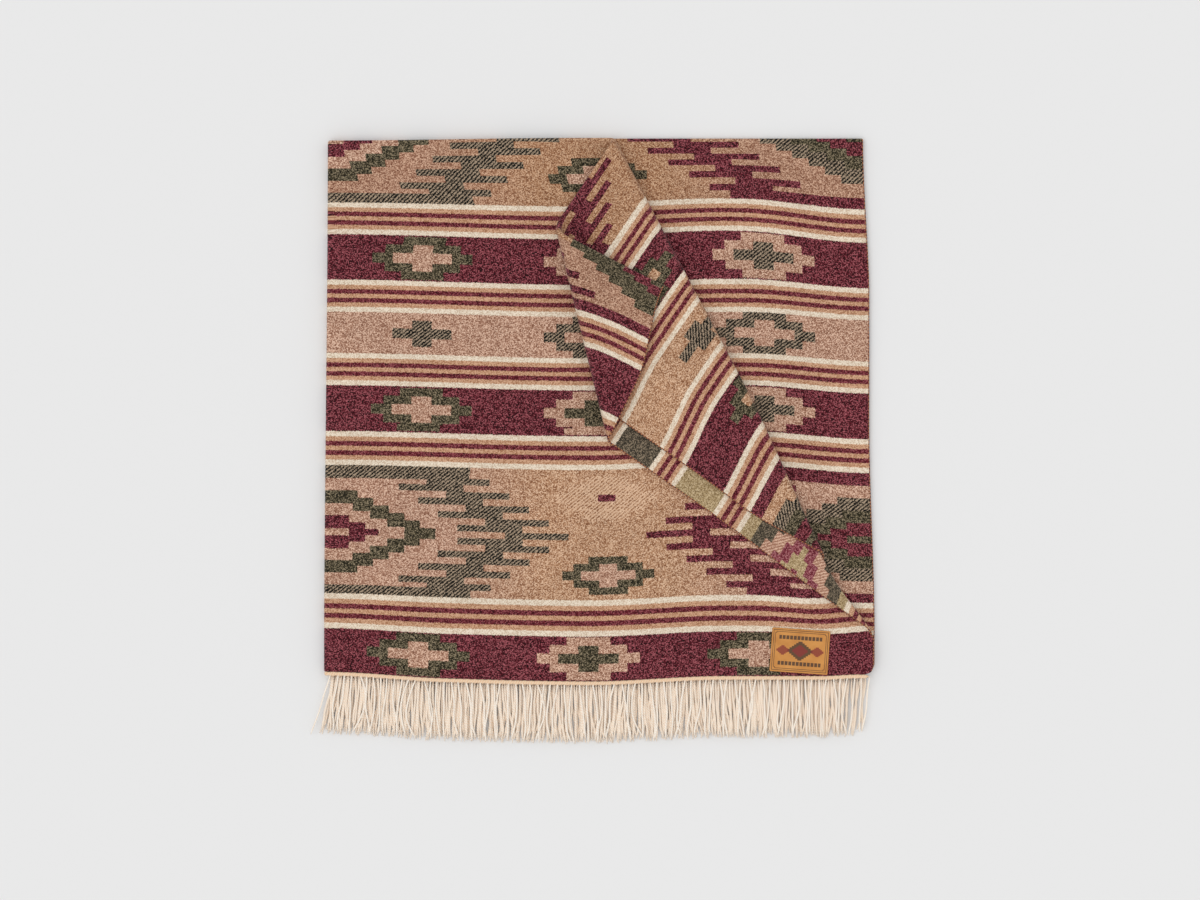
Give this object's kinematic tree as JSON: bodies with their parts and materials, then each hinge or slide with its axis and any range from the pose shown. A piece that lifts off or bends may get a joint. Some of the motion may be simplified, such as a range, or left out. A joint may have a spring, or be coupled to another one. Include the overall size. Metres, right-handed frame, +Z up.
{
  "type": "folded fringed throw blanket",
  "caption": "Woven throw with fringed ends and a sewn patch, folded in quarters with one corner of its upper layers turned back twice.",
  "frame": {"origin": "middle of the folded cloth's underside, on the surface it rests on", "axes": "+X to the right along the fringed edge, +Y from the fringe to the top fold, +Z up"},
  "size_m": [0.6599, 0.7207, 0.0454],
  "materials": {
    "woven_cloth": "matt brushed jacquard weave in burgundy, beige, green and cream",
    "fringe_yarn": "plied cream yarn",
    "patch_leather": "smooth tan leather-like patch with a printed border"
  },
  "bodies": {
    "root": {"throw_cloth": "woven_cloth", "fringe_outer_end": "fringe_yarn", "fringe_inner_end": "fringe_yarn", "corner_patch": "patch_leather"}
  },
  "joints": []
}
